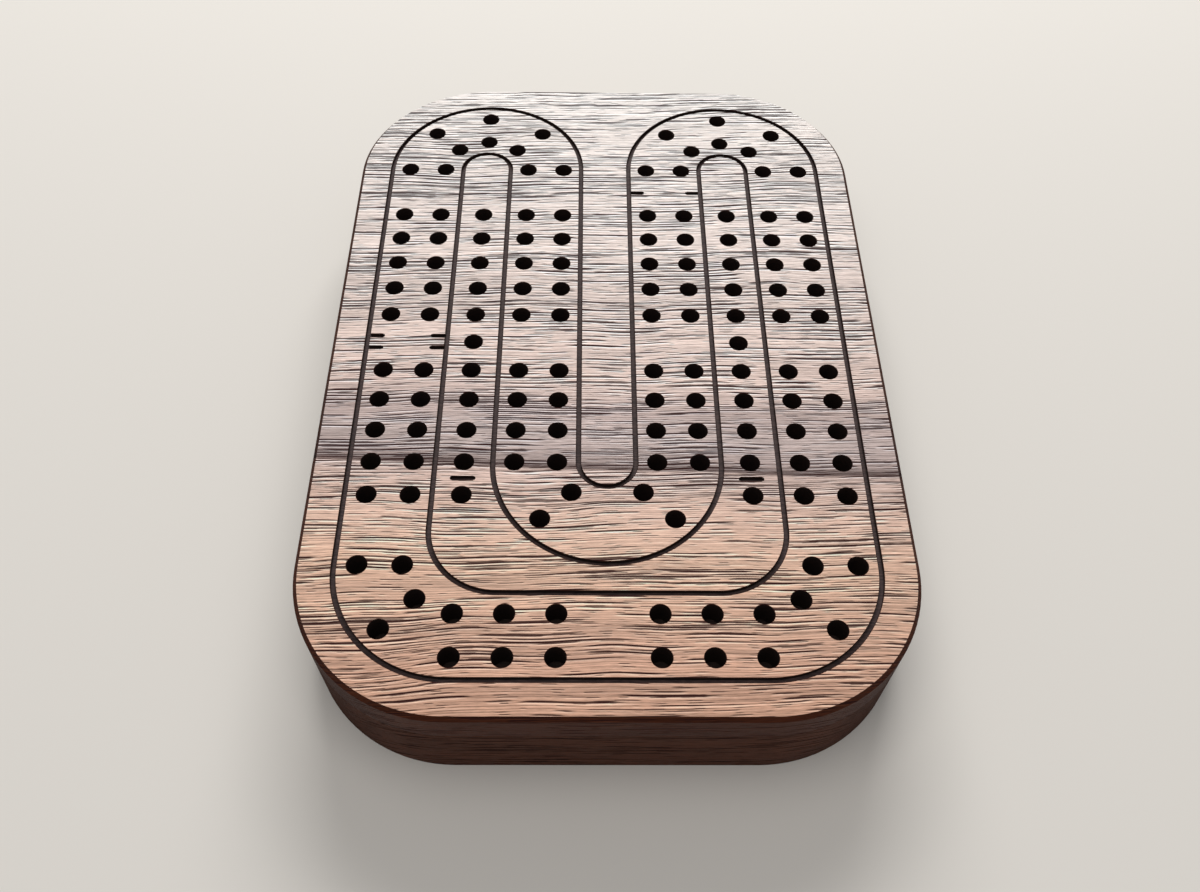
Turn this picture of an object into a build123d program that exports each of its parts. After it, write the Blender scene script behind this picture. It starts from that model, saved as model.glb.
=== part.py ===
"""A cribbage board that is also a shallow box, with a peg drawer in its far end.

Millimetres. X runs across the board, Y from the near end to the drawer end, Z up.
The origin is the middle of the underside.
"""

import os
from math import cos, radians, sin, sqrt

from build123d import *

# ---- Track: holes and engraved lines on the top face ----
row_pitch = 6.35  # from one row of peg holes to the next
turn_rows = 14  # rows from the hairpins' centre line to the corners' centre line
u_turn_row = 11  # row that the inner U-turn swings round
pair_pitch = 7.0  # between the two players' holes in a lane
hole_to_groove = 3.5  # from a hole to the line beside it
strip_width = 9.4  # plain wood between two lanes, line to line
edge_margin = 6.1  # from the outer line to the board's edge
inner_corner_radius = 11.1  # near corners of the inner line
hole_diameter = 3.3
hole_side_count = 12  # of the peg holes, all but the first pair
first_row = 2  # the first pair past the start mark, which is fully round
hole_floor = 1.15  # wood left under each peg hole
groove_width = 0.9
groove_depth = 0.8
tick_length = 2.6  # start and skunk marks, from the line that they spring from
skunk_spacing = 2.7  # between the two skunk marks
start_row = 1  # row of the start mark
skunk_row = 7  # row of the skunk marks
bar_row = 11.5  # row of the short bars across the game counters
bar_length = 4.3

# ---- Casing: a plate glued on a block with a milled drawer pocket ----
plate_thickness = 6.35
block_thickness = 12.7
rim_break = 0.65  # flat bevel round the top face
pocket_floor = 3.2
mouth_margin = 1.4  # from the drawer's mouth to the start of the corner curve
pocket_corner_radius = 1.6

# ---- Drawer ----
drawer_length = 104.0
slide_gap = 0.25  # beside and above the drawer
runner_gap = 0.1  # under it
end_gap = 0.3  # behind it when it is shut
front_thickness = 6.0
side_thickness = 3.0
back_thickness = 3.5
bottom_thickness = 1.5
lap = 3.0  # how far the sides reach into the front
rebate = 1.5  # how far the bottom is let into the sides and the front
front_break = 0.4

# ---- Catch: a pair of disc magnets that meet behind the shut drawer ----
magnet_diameter = 5.0
magnet_thickness = 2.0
magnet_fit = 0.05  # round each magnet in its hole

# ---- Pull: a turned brass knob and its screw ----
knob_diameter = 8.0
knob_length = 8.5
knob_head = 3.4  # thickness of the knob's head
knob_crown = 0.9  # turned-off corner of the head's face
knob_neck_diameter = 3.8
knob_foot_diameter = 5.4
knob_foot = 0.9
screw_diameter = 2.0
screw_bite = 4.5  # how far the screw reaches into the knob
screw_head_diameter = 3.8
screw_head = 1.3
screw_slot = 0.5
screw_clearance = 0.1  # round the screw in the front
thread_clearance = 0.04  # round the screw in the knob
head_clearance = 0.25  # round and behind the screw's head

# ---- Pegs and the tray that they lie in ----
peg_count = 6
peg_length = 30.0
peg_diameter = 4.0
grip_length = 12.0
peg_shank_diameter = 3.0
tray_thickness = 3.6
tray_wall = 2.0  # at each end of the channels
tray_fit = 0.1  # round the tray in the drawer
channel_depth = 2.4  # of each right-angled V
channel_gap = 0.1  # between a peg and its channel's walls
channel_end_gap = 0.3  # past each end of a peg
scoop_width = 13.0  # finger slot across the channels

# ---- Sizes that follow ----
lane_in = strip_width / 2
track_in = lane_in + hole_to_groove
track_out = track_in + pair_pitch
lane_out = track_out + hole_to_groove
column = lane_out + lane_in
corner_radius = lane_out + edge_margin
board_width = 2 * (column + corner_radius)
board_length = turn_rows * row_pitch + 2 * corner_radius
board_height = block_thickness + plate_thickness
far_end = board_length / 2

pocket_width = 2 * (column - mouth_margin)
pocket_end = far_end - drawer_length - end_gap
drawer_width = pocket_width - 2 * slide_gap
drawer_base = pocket_floor + runner_gap
drawer_top = block_thickness - slide_gap
drawer_rear = far_end - drawer_length
front_rear = far_end - front_thickness
deck = drawer_base + bottom_thickness
inner_width = drawer_width - 2 * side_thickness
magnet_height = (deck + drawer_top) / 2
knob_height = (drawer_base + drawer_top) / 2
tray_width = inner_width - 2 * tray_fit
tray_top = deck + tray_thickness
channel_length = peg_length + 2 * channel_end_gap
tray_length = channel_length + 2 * tray_wall
channel_front = front_rear - tray_fit - tray_wall
peg_height = tray_top - channel_depth + (peg_diameter / 2 + channel_gap) * sqrt(2)
peg_pitch = tray_width / peg_count


def row_y(row):
    """Y of a row of holes, counted from the hairpins' centre line."""
    return (turn_rows / 2 - row) * row_pitch


def block(x_size, y_low, y_high, z_low, z_high, x_middle=0.0):
    """A square-edged block between two planes in Y and two in Z."""
    middle = Pos(x_middle, (y_low + y_high) / 2, (z_low + z_high) / 2)
    return middle * Box(x_size, y_high - y_low, z_high - z_low)


def rod(diameter, y_low, y_high, x=0.0, z=0.0):
    """A round bar along Y."""
    middle = Pos(x, (y_low + y_high) / 2, z)
    return middle * Rot(90, 0, 0) * Cylinder(diameter / 2, y_high - y_low)


def turned(profile, x, y, z):
    """A solid of revolution from a half profile of (radius, length) points, its length along +Y."""
    half = make_face(Polyline(*profile, close=True))
    return Pos(x, y, z) * revolve(half, Axis.Y)


# ---- Top plate ----


def arc_holes(centre_x, centre_y, angles):
    """Pairs of holes round a turn, on the inner and the outer track."""
    return [
        (centre_x + track * cos(radians(a)), centre_y + track * sin(radians(a)))
        for a in angles
        for track in (track_in, track_out)
    ]


def row_holes(rows, columns):
    """Holes where the given rows and columns cross."""
    return [(x, row_y(row)) for row in rows for x in columns]


def right_half_holes():
    """Centres of the peg holes right of the centre line."""
    inner = (track_in, track_out)
    outer = (column + track_in, column + track_out)
    last = row_y(turn_rows)
    holes = arc_holes(column, row_y(0), (0, 45, 90, 135, 180))
    full_rows = [row for row in range(first_row, u_turn_row + 1) if row != skunk_row]
    holes += row_holes(full_rows, inner + (column,) + outer)
    holes += row_holes((skunk_row,), (column,))
    holes += row_holes((u_turn_row + 1,), (column,) + outer)
    holes += row_holes((turn_rows,), outer)
    holes += arc_holes(0, row_y(u_turn_row), (-45,))
    holes += arc_holes(column, last, (-45,))
    for track in inner:
        holes += [(column * third / 3, last - track) for third in (1, 2, 3)]
    return holes


def peg_holes():
    """The holes as solids to cut: flat-sided, but for the round pair past the start mark."""
    depth = plate_thickness - hole_floor
    radius = hole_diameter / 2
    round_hole = extrude(Circle(radius), depth)
    flat_hole = extrude(RegularPolygon(radius, hole_side_count, major_radius=False), depth)
    first_pair = row_holes((first_row,), (track_in, track_out))
    right = right_half_holes()
    others = [place for place in right if place not in first_pair]
    others += [(-x, y) for x, y in right]
    level = board_height - depth
    holes = [Pos(x, y, level) * round_hole for x, y in first_pair]
    return holes + [Pos(x, y, level) * flat_hole for x, y in others]


def loop_area(hairpin_radius, near_radius):
    """The area inside a track line: a U-turn, a hairpin and a near corner, then mirrored."""
    turn = column - hairpin_radius
    side = column + hairpin_radius
    top, low = row_y(0), row_y(u_turn_row)
    near = row_y(turn_rows) - hairpin_radius
    bend = (side - near_radius, near + near_radius)
    half = CenterArc((0, low), turn, 270, 90)
    half += Line((turn, low), (turn, top))
    half += CenterArc((column, top), hairpin_radius, 180, -180)
    half += Line((side, top), (side, bend[1]))
    half += CenterArc(bend, near_radius, 0, -90)
    half += Line((bend[0], near), (0, near))
    return make_face(half + mirror(half, about=Plane.YZ))


def track_line(hairpin_radius, near_radius):
    """A line of the cutter's width along the edge of a loop's area."""
    half = groove_width / 2
    outside = loop_area(hairpin_radius + half, near_radius + half)
    inside = loop_area(hairpin_radius - half, near_radius - half)
    return outside - inside


def lane_ticks(left_line, right_line, y):
    """A square-ended tick from each side of a lane, springing from its lines."""
    middle = tick_length / 2
    tick = Rectangle(tick_length, groove_width)
    return [Pos(left_line + middle, y) * tick, Pos(right_line - middle, y) * tick]


def marks():
    """Start mark, skunk marks and the round-ended bars across the game counters."""
    far_line = column + lane_out
    near_line = column + lane_in
    skunk = row_y(skunk_row)
    strokes = lane_ticks(lane_in, lane_out, row_y(start_row))
    for y in (skunk - skunk_spacing / 2, skunk + skunk_spacing / 2):
        strokes += lane_ticks(-far_line, -near_line, y)
    bar = SlotOverall(bar_length, groove_width)
    return strokes + [Pos(x, row_y(bar_row)) * bar for x in (-column, column)]


def top_plate():
    """The playing board: blind peg holes, two engraved track lines and the marks."""
    outline = RectangleRounded(board_width, board_length, corner_radius)
    plate = Pos(0, 0, block_thickness) * extrude(outline, plate_thickness)
    plate = chamfer(plate.faces().sort_by(Axis.Z)[-1].edges(), rim_break)
    lines = [track_line(lane_out, lane_out), track_line(lane_in, inner_corner_radius)]
    engraving = Sketch() + lines + marks()
    cut = Pos(0, 0, board_height - groove_depth) * extrude(engraving, groove_depth)
    return plate - peg_holes() - cut


# ---- Lower block ----


def magnet_hole(face_y):
    """A blind hole for a magnet, opening in a face at face_y and going towards -Y."""
    width = magnet_diameter + 2 * magnet_fit
    return rod(width, face_y - magnet_thickness, face_y, 0, magnet_height)


def body_block():
    """The lower block, with the drawer's pocket milled from above and open at the far end."""
    outline = RectangleRounded(board_width, board_length, corner_radius)
    lower = extrude(outline, block_thickness)
    pocket = block(pocket_width, pocket_end, far_end, pocket_floor, block_thickness)
    corners = pocket.edges().filter_by(Axis.Z).group_by(Axis.Y)[0]
    pocket = fillet(corners, pocket_corner_radius)
    return lower - pocket - magnet_hole(pocket_end)


# ---- Drawer box ----


def drawer_front():
    """The front, rabbeted for the sides and the bottom and bored for the knob's screw."""
    front = block(drawer_width, front_rear, far_end, drawer_base, drawer_top)
    front = chamfer(front.faces().sort_by(Axis.Y)[-1].edges(), front_break)
    lap_face = front_rear + lap
    middle = (drawer_width - side_thickness) / 2
    for x in (-middle, middle):
        front -= block(side_thickness, front_rear, lap_face, drawer_base, drawer_top, x)
    front -= block(drawer_width, front_rear, front_rear + rebate, drawer_base, deck)
    head_width = screw_head_diameter + 2 * head_clearance
    head_face = front_rear + screw_head + head_clearance
    front -= rod(head_width, front_rear, head_face, 0, knob_height)
    hole_width = screw_diameter + 2 * screw_clearance
    return front - rod(hole_width, head_face, far_end, 0, knob_height)


def drawer_side(hand):
    """A side, let into the front, rounded at the rear and rebated for the bottom."""
    middle = hand * (drawer_width - side_thickness) / 2
    side = block(
        side_thickness, drawer_rear, front_rear + lap, drawer_base, drawer_top, middle
    )
    uprights = side.edges().filter_by(Axis.Z).group_by(Axis.Y)[0].sort_by(Axis.X)
    outer = uprights[-1] if hand > 0 else uprights[0]
    side = fillet(outer, pocket_corner_radius + slide_gap)
    groove_middle = hand * (inner_width + rebate) / 2
    return side - block(
        rebate, drawer_rear, front_rear + lap, drawer_base, deck, groove_middle
    )


def drawer_back():
    """The back, between the sides on top of the bottom, bored for the catch's magnet."""
    back = block(inner_width, drawer_rear, drawer_rear + back_thickness, deck, drawer_top)
    return back - magnet_hole(drawer_rear + magnet_thickness)


def drawer_bottom():
    """The thin bottom, in the rebates of the sides and the front."""
    width = inner_width + 2 * rebate
    return block(width, drawer_rear, front_rear + rebate, drawer_base, deck)


def peg_tray():
    """An insert with a V-shaped channel for each peg and a finger slot across them."""
    front = front_rear - tray_fit
    tray = block(tray_width, front - tray_length, front, deck, tray_top)
    depth = channel_depth
    vee = make_face(Polyline((-depth, 0), (0, -depth), (depth, 0), close=True))
    channel = Pos(0, channel_front, tray_top) * Rot(90, 0, 0) * extrude(vee, channel_length)
    tray -= [Pos(x, 0, 0) * channel for x in peg_places()]
    middle = front - tray_length / 2
    slot = (middle - scoop_width / 2, middle + scoop_width / 2)
    return tray - block(tray_width, *slot, tray_top - depth, tray_top)


# ---- Fittings ----


def magnet(face_y):
    """A disc magnet with its outer face at face_y and its body towards -Y."""
    return rod(magnet_diameter, face_y - magnet_thickness, face_y, 0, magnet_height)


def drawer_knob():
    """A turned knob: foot, neck and a head with its corner turned off, tapped for its screw."""
    foot = knob_foot_diameter / 2
    neck = knob_neck_diameter / 2
    head = knob_diameter / 2
    head_start = knob_length - knob_head
    profile = [
        (0, 0),
        (foot, 0),
        (foot, knob_foot),
        (neck, knob_foot),
        (neck, head_start),
        (head, head_start),
        (head, knob_length - knob_crown),
        (head - knob_crown, knob_length),
        (0, knob_length),
    ]
    tapped = screw_diameter + 2 * thread_clearance
    depth = screw_bite + head_clearance
    thread = rod(tapped, far_end, far_end + depth, 0, knob_height)
    return turned(profile, 0, far_end, knob_height) - thread


def knob_screw():
    """The slotted screw that holds the knob, its head sunk in the front's rear face."""
    under_head = front_rear + screw_head + head_clearance
    tip = far_end + screw_bite
    head = rod(screw_head_diameter, under_head - screw_head, under_head, 0, knob_height)
    shank = rod(screw_diameter, under_head, tip, 0, knob_height)
    slot_floor = under_head - screw_head / 2
    slot_height = (knob_height - screw_slot / 2, knob_height + screw_slot / 2)
    slot = block(screw_head_diameter, under_head - screw_head, slot_floor, *slot_height)
    return head + shank - slot


# ---- Pegs ----


def peg_places():
    """X of each peg's channel, from left to right."""
    middle = (peg_count - 1) / 2
    return [(i - middle) * peg_pitch for i in range(peg_count)]


def peg(x):
    """A turned peg in its channel, its grip towards the drawer's front."""
    grip = peg_diameter / 2
    shank = peg_shank_diameter / 2
    shoulder = peg_length - grip_length
    profile = [
        (0, 0),
        (shank, 0),
        (shank, shoulder),
        (grip, shoulder),
        (grip, peg_length),
        (0, peg_length),
    ]
    return turned(profile, x, channel_front - channel_end_gap - peg_length, peg_height)


def build():
    """Every piece by the name of its file."""
    parts = {
        "top_plate": top_plate(),
        "body_block": body_block(),
        "drawer_front": drawer_front(),
        "drawer_side_left": drawer_side(-1),
        "drawer_side_right": drawer_side(1),
        "drawer_back": drawer_back(),
        "drawer_bottom": drawer_bottom(),
        "peg_tray": peg_tray(),
        "drawer_knob": drawer_knob(),
        "knob_screw": knob_screw(),
    }
    parts["pocket_magnet"] = magnet(pocket_end)
    parts["drawer_magnet"] = magnet(drawer_rear + magnet_thickness)
    metals = ("brass", "steel")
    per_metal = peg_count // len(metals)
    for number, x in enumerate(peg_places()):
        metal = metals[number * len(metals) // peg_count]
        parts[f"{metal}_peg_{number % per_metal + 1}"] = peg(x)
    return parts


os.makedirs("parts", exist_ok=True)
for name, piece in build().items():
    export_step(piece, f"parts/{name}.step")
    print(name, round(piece.volume, 1), "mm3")
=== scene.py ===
# %% [markdown]
# # A walnut cribbage box with a peg drawer
# The real object is a small board game in one box: a walnut plate drilled with peg holes
# and engraved with two track lines, glued on a thicker walnut block. A drawer for the
# pegs slides out of the far end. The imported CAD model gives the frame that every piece
# is built in, in metres: X across, Y from the near end to the drawer end, Z up.

# %% Load the frame
from math import cos, pi, radians, sin

import bmesh
import bpy
from mathutils import Matrix, Vector


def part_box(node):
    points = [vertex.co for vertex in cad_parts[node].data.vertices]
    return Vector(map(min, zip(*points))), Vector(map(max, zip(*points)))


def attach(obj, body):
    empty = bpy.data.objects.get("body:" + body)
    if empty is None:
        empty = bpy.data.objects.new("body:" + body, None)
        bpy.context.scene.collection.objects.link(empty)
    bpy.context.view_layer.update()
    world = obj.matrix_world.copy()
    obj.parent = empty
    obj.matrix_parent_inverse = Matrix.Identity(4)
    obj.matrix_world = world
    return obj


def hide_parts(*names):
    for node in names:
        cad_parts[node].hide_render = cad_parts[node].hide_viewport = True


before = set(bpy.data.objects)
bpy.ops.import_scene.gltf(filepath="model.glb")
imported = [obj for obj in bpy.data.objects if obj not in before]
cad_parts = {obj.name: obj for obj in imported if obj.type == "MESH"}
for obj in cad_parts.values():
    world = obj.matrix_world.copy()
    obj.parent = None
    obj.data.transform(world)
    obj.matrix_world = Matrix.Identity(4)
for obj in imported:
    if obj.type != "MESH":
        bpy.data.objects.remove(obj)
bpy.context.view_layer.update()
mm = 0.001

# %% [markdown]
# ## The camera
# The photograph was taken from above the near end. A camera could be aimed by eye, but
# the layout of the peg holes is known, and a fit to their places in the picture gives
# the place, the view and the right side.

# %% Place the camera
camera_place = Vector((-3.35, -125.4, 169.3)) * mm
forward = Vector((0.0120, 0.5662, -0.8242)).normalized()
right = Vector((0.9999, -0.0033, 0.0123))
# The right side is made square to the view.
right = (right - right.dot(forward) * forward).normalized()
turn = Matrix((right, right.cross(forward), -forward)).transposed()

camera = bpy.data.objects.new("camera", bpy.data.cameras.new("camera"))
bpy.context.scene.collection.objects.link(camera)
camera.matrix_world = Matrix.Translation(camera_place) @ turn.to_4x4()
camera.data.sensor_width = 36
camera.data.lens = 33.1
camera.data.clip_start = 0.01
bpy.context.scene.camera = camera
print("camera at", [round(v, 4) for v in camera.location])

# %% [markdown]
# ## Helpers for nodes and colours
# Materials and Geometry Nodes are both trees of nodes, so one small function serves
# both: it adds a node, fills its inputs and hands back one of its outputs. Colours are
# the hex values that a painter would pick on a screen, turned to linear light.

# %% Node and colour helpers
def linear(hex_colour):
    """An sRGB hex colour as linear RGBA."""
    parts = [int(hex_colour[i:i + 2], 16) / 255 for i in (1, 3, 5)]
    light = [c / 12.92 if c <= 0.04045 else ((c + 0.055) / 1.055) ** 2.4 for c in parts]
    return (*light, 1.0)


def fill(tree, node, inputs):
    """Fills a node's inputs: a socket is linked, anything else is set as a value."""
    for name, value in inputs.items():
        if isinstance(value, bpy.types.NodeSocket):
            tree.links.new(value, node.inputs[name])
        else:
            node.inputs[name].default_value = value


def add(tree, kind, inputs=(), out=0, stops=(), **settings):
    """Adds a node with its settings and links, and returns one of its outputs.

    Inputs are a tuple in the node's own order or a dictionary; stops are a ramp's
    (place, hex colour) pairs."""
    node = tree.nodes.new(kind)
    for name, value in settings.items():
        setattr(node, name, value)
    fill(tree, node, inputs if isinstance(inputs, dict) else dict(enumerate(inputs)))
    for number, (place, colour) in enumerate(stops):
        while len(node.color_ramp.elements) <= number:
            node.color_ramp.elements.new(1.0)
        node.color_ramp.elements[number].position = place
        node.color_ramp.elements[number].color = linear(colour)
    return node.outputs[out] if len(node.outputs) else None


def new_material(name):
    """A new material, its tree of nodes and its shader."""
    material = bpy.data.materials.new(name)
    material.use_nodes = True
    return material, material.node_tree, material.node_tree.nodes["Principled BSDF"]


print("a mid grey, linear:", [round(c, 3) for c in linear("#808080")])

# %% [markdown]
# ## Walnut
# Black walnut has a grey-brown ground with fine dark pores that show as thin,
# near-parallel dashes. A photograph wrapped round the board would smear on its edges; a
# solid texture, drawn from noise in real millimetres, gives every point of the wood its
# own colour and shows no seam.

# %% Coordinates and noise along the fibres
seed_step = 37.0  # mm along the fibres from one seed's stretch of wood to the next


def fibre_coordinates(tree, fibre, seed, slant=0.0):
    """Object coordinates in millimetres with the fibres along X, slanted by degrees."""
    place = add(tree, "ShaderNodeTexCoord", out="Object")
    turned = (0, 0, radians((90 if fibre == "Y" else 0) - slant))
    return add(tree, "ShaderNodeMapping", {
        "Vector": place, "Scale": (1 / mm, 1 / mm, 1 / mm), "Rotation": turned,
        "Location": (seed * seed_step, 0, 0)})


def stretched_noise(tree, place, length, width, detail=0.0, roughness=0.5, height=None, out=0):
    """Noise with cells of a length along the fibres and a width across, in mm."""
    scaled = add(tree, "ShaderNodeVectorMath", (
        place, (1 / length, 1 / width, 1 / (height or width))), operation="MULTIPLY")
    return add(tree, "ShaderNodeTexNoise", {
        "Vector": scaled, "Scale": 1.0, "Detail": detail, "Roughness": roughness}, out=out)


def swayed(tree, place, amount):
    """The same place, moved slowly across the fibres by up to half an amount in mm."""
    noise = stretched_noise(tree, place, 34, 26, 2.0, out="Color")
    middle = add(tree, "ShaderNodeVectorMath", (noise, (0.5, 0.5, 0.5)), operation="SUBTRACT")
    return add(tree, "ShaderNodeVectorMath", (middle, (0.0, amount, amount), place),
               operation="MULTIPLY_ADD")


def scaled_by(tree, colour, value, low, high, factor_low, factor_high):
    """A colour scaled by factors that follow a value from a low to a high one."""
    factor = add(tree, "ShaderNodeMapRange", (value, low, high, factor_low, factor_high))
    grey = add(tree, "ShaderNodeCombineColor", (factor, factor, factor))
    return add(tree, "ShaderNodeMix", {0: 1.0, 6: colour, 7: grey}, out=2,
               data_type="RGBA", blend_type="MULTIPLY", clamp_result=True)


print("fibre helpers ready, seeds", seed_step, "mm apart")

# %% [markdown]
# ### Pores in lanes
# Pores are vessels cut lengthwise by the planer: long, thin, parallel, never on top of
# each other, and each a small dent. Beside each, a thin pale line is a painted highlight
# where the window's glint would catch the dent's edge. Thresholded noise makes blots
# instead. So the wood is divided into lanes, each lane gets a random number, and a line
# drawn in it is broken into dashes.

# %% Lanes of pores
lane_climb = 0.83  # height counts as width too, for the walls
lane_scatter = 977.0  # mm along which the lanes' starts are scattered
lane_drift = 0.07  # how fast a dash wanders inside its lane, per mm
soft_edge = (-0.03, 0.05)  # mm over which a dash fades
# A dash's lip is a painted highlight, not a shape; it lies this far from the dash, in mm.
glint_gap = 0.1  # mm from a dash to its lip


def pore_lanes(tree, place, seed, pitch, length, width, crowd):
    """Dashes in lanes, and a painted highlight on the near side of each; sizes in mm."""
    x, y, z = (add(tree, "ShaderNodeSeparateXYZ", (place,), out=axis) for axis in "XYZ")
    across = add(tree, "ShaderNodeMath", (z, lane_climb, y), operation="MULTIPLY_ADD")
    lanes = add(tree, "ShaderNodeMath", (across, pitch), operation="DIVIDE")
    lane = add(tree, "ShaderNodeMath", (lanes,), operation="FLOOR")
    inside = add(tree, "ShaderNodeMath", (lanes,), operation="FRACT")
    number = add(tree, "ShaderNodeMath", (lane, seed), operation="ADD")
    chance = add(tree, "ShaderNodeTexWhiteNoise", {"W": number}, out="Value",
                 noise_dimensions="1D")
    start = add(tree, "ShaderNodeMath", (chance, lane_scatter, x), operation="MULTIPLY_ADD")
    along = add(tree, "ShaderNodeMath", (start, length), operation="DIVIDE")
    dashes = add(tree, "ShaderNodeTexNoise", {"W": along, "Scale": 1.0, "Detail": 1.0},
                 noise_dimensions="1D")
    dashes = add(tree, "ShaderNodeMath", (dashes, crowd), operation="ADD")
    # A dash swells from nothing at its ends to the full width in its middle.
    swell = add(tree, "ShaderNodeMapRange", (dashes, 0.46, 0.56, 0.0, width / 2))
    drift = add(tree, "ShaderNodeTexNoise", {"W": start, "Scale": lane_drift, "Detail": 0.0},
                noise_dimensions="1D")
    drift = add(tree, "ShaderNodeMath", (drift, chance), operation="ADD")
    centre = add(tree, "ShaderNodeMapRange", (drift, 0.2, 1.8, 0.3, 0.7))
    offset = add(tree, "ShaderNodeMath", (inside, centre), operation="SUBTRACT")
    offset = add(tree, "ShaderNodeMath", (offset, pitch), operation="MULTIPLY")
    glint_offset = add(tree, "ShaderNodeMath", (offset, width / 2 + glint_gap), operation="ADD")
    layers = []
    for away in (offset, glint_offset):
        distance = add(tree, "ShaderNodeMath", (away,), operation="ABSOLUTE")
        depth = add(tree, "ShaderNodeMath", (swell, distance), operation="SUBTRACT")
        layers.append(add(tree, "ShaderNodeMapRange", (depth, *soft_edge, 0.0, 1.0)))
    return layers


print("lanes ready, lips", glint_gap, "mm from their pores")

# %% Three sizes of pores
# Each row: a seed for its lanes, lane pitch, dash length, dash width, strength.
pore_sizes = [
    (0, 1.05, 19.0, 0.29, 1.0),
    (500, 0.7, 12.0, 0.22, 0.95),
    (900, 0.4, 4.5, 0.14, 0.85)]


def pore_field(tree, place, crowd):
    """Long pores, shorter ones and fine flecks laid over each other, and their painted highlights.
    """
    field = (0.0, 0.0)
    for *sizes, strength in pore_sizes:
        layers = [add(tree, "ShaderNodeMath", (layer, strength), operation="MULTIPLY")
                  for layer in pore_lanes(tree, place, *sizes, crowd)]
        field = [add(tree, "ShaderNodeMath", pair, operation="MAXIMUM")
                 for pair in zip(field, layers)]
    return field


print("pore sizes:", len(pore_sizes))

# %% [markdown]
# ### Walls and end grain
# A plank shows long fibres on its top and sides and open vessels on its ends, which are
# darker wood. The plate's walls and bevels are darker than its top by a painted shade on
# every steep face. Faces could be picked by hand, but the material can read which way a
# face looks, and then round corners are right too.

# %% Which way a face looks
def facings(tree, fibre):
    """How far a face stands upright, and how far it crosses the fibres, from 0 to 1."""
    normal = add(tree, "ShaderNodeNewGeometry", out="Normal")
    size = add(tree, "ShaderNodeVectorMath", (normal,), operation="ABSOLUTE")
    level = add(tree, "ShaderNodeSeparateXYZ", (size,), out="Z")
    across = add(tree, "ShaderNodeSeparateXYZ", (size,), out=fibre)
    return (add(tree, "ShaderNodeMapRange", (level, 0.99, 0.75, 0.0, 1.0)),
            add(tree, "ShaderNodeMapRange", (across, 0.35, 0.9, 0.0, 1.0)))


def end_grain_pores(tree, pores, place, ends):
    """Dashes on long grain, and open vessels as dots crowded along growth rings on ends."""
    dots = stretched_noise(tree, place, 40.0, 0.3, 1.0)
    # Growth rings lie nearly level in a flat-sawn board, about 1.5 mm apart.
    rings = stretched_noise(tree, place, 200.0, 16.0, 1.0, height=1.5)
    dots = add(tree, "ShaderNodeMath", (rings, 0.45, dots), operation="MULTIPLY_ADD")
    dots = add(tree, "ShaderNodeMapRange", (dots, 0.70, 0.90, 0.0, 0.7))
    return add(tree, "ShaderNodeMix", {0: ends, 2: pores, 3: dots}, data_type="FLOAT")


print("walls and end grain ready")

# %% [markdown]
# ### The ground between the pores
# Walnut's colour changes in broad bands, where one year's growth meets the next. Noise
# would put bands anywhere, but here they have known places, so a ramp of tones runs
# across the board, and a second ramp says how densely the pores lie.

# %% The ground's tone
ring_slant = 0.55  # growth rings slant down into the board, so depth moves the tone
band_slant = 0.05  # the bands run at a small angle to the fibres


def walnut_ground(tree, place, tones, crowding, top):
    """The ground's colour, how densely the pores lie, and the fine fibres."""
    x, y, z = (add(tree, "ShaderNodeSeparateXYZ", (place,), out=axis) for axis in "XYZ")
    depth = add(tree, "ShaderNodeMath", (z, top), operation="SUBTRACT")
    across = add(tree, "ShaderNodeMath", (depth, ring_slant, y), operation="MULTIPLY_ADD")
    across = add(tree, "ShaderNodeMath", (x, band_slant, across), operation="MULTIPLY_ADD")
    low, high = tones[0][0], tones[-1][0]
    share = add(tree, "ShaderNodeMapRange", (across, low, high, 0.0, 1.0))
    ground, dense = (add(tree, "ShaderNodeValToRGB", (share,), stops=[
        ((at - low) / (high - low), colour) for at, colour in stops])
        for stops in (tones, crowding))
    # Broad, soft streaks of lighter and darker wood, about 60 mm long and 3 mm wide.
    streak = stretched_noise(tree, place, 60.0, 3.0, 3.0, 0.6)
    ground = scaled_by(tree, ground, streak, 0.35, 0.68, 1.10, 0.80)
    # Fine fibres, a quarter of a millimetre wide.
    fibres = stretched_noise(tree, place, 3.0, 0.26, 2.0, 0.7)
    return scaled_by(tree, ground, fibres, 0.28, 0.72, 0.76, 1.24), dense, fibres


print("ground ready, rings slanted by", ring_slant)

# %% [markdown]
# ### The oiled walnut
# An oiled, planed face has a low sheen that breaks at each pore. Colour alone would look
# printed, so one mask of pores drives colour, roughness, sheen and bump together.

# %% The walnut material
fibre_slant, fibre_sway = 1.0, 2.6  # degrees, and mm
# Painted highlight: a lip's colour is made brighter than the ground, and paler, where the window's
# glint would be.
painted_glint_gain = (1.45, 1.7, 1.85, 1.0)
pore_depth = 0.12 * mm


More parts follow.
